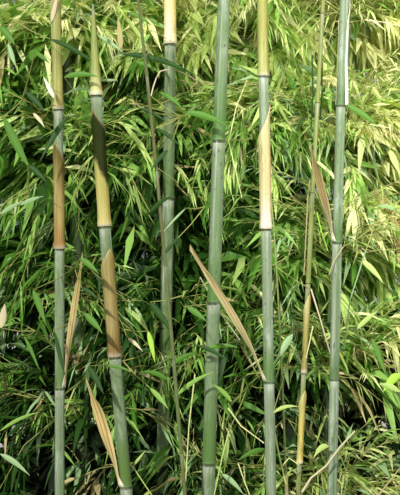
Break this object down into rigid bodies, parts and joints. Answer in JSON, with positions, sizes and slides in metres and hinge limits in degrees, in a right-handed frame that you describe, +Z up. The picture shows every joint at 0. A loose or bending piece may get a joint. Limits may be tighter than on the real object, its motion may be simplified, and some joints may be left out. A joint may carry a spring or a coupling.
{
  "type": "potted bamboo",
  "caption": "Clump of bamboo in a plain round terracotta pot: upright green culms with papery sheaths, and leafy branches from low on the older culms to the arching tops.",
  "frame": {"origin": "middle of the pot's flat underside", "axes": "+Z up, +X to the right and -Y towards the viewer, as the picture looks at it"},
  "size_m": [1.2835, 1.1271, 2.671],
  "materials": {
    "terracotta": "unglazed, matte, faintly weathered",
    "compost": "loose, matte, crumbly",
    "green_culm": "smooth green skin with a grey waxy bloom, brighter over each joint",
    "old_culm": "smooth, duller green, partly yellowed",
    "sheath": "dry, papery, finely ribbed along its length",
    "leaf": "thin green blade with a soft sheen"
  },
  "bodies": {
    "root": {"pot": "terracotta", "compost": "compost", "culm_a": "green_culm", "culm_b": "green_culm", "culm_c": "green_culm", "culm_d": "green_culm", "culm_e": "green_culm", "culm_f": "green_culm", "culm_g": "green_culm", "culm_h": "green_culm", "culm_i": "green_culm", "culm_j": "old_culm", "culm_k": "old_culm", "culm_l": "old_culm", "culm_m": "old_culm", "sheath_a7": "sheath", "sheath_a6": "sheath", "loose_sheath_a5": "sheath", "sheath_b7": "sheath", "sheath_b6": "sheath", "sheath_b5": "sheath", "loose_sheath_b4": "sheath", "sheath_c7": "sheath", "sheath_e7": "sheath", "sheath_e6": "sheath", "loose_sheath_e5": "sheath", "sheath_f7": "sheath", "sheath_f6": "sheath", "sheath_g7": "sheath", "loose_sheath_g6": "sheath", "sheath_i5": "sheath", "foliage_a1_right": "leaf", "foliage_a1_left": "leaf", "foliage_c1_right": "leaf", "foliage_c1_left": "leaf", "foliage_d1_right": "leaf", "foliage_d1_left": "leaf", "foliage_e1_right": "leaf", "foliage_e1_left": "leaf", "foliage_f1_all": "leaf", "foliage_g1_right": "leaf", "foliage_g1_left": "leaf", "foliage_h1_all": "leaf", "foliage_j1_right": "leaf", "foliage_j1_left": "leaf", "foliage_j2_right": "leaf", "foliage_j2_left": "leaf", "foliage_k1_right": "leaf", "foliage_k1_left": "leaf", "foliage_k2_right": "leaf", "foliage_k2_left": "leaf", "foliage_l1_right": "leaf", "foliage_l1_left": "leaf", "foliage_l2_right": "leaf", "foliage_l2_left": "leaf", "foliage_m1_right": "leaf", "foliage_m1_left": "leaf", "foliage_m2_right": "leaf", "foliage_m2_left": "leaf"}
  },
  "joints": []
}
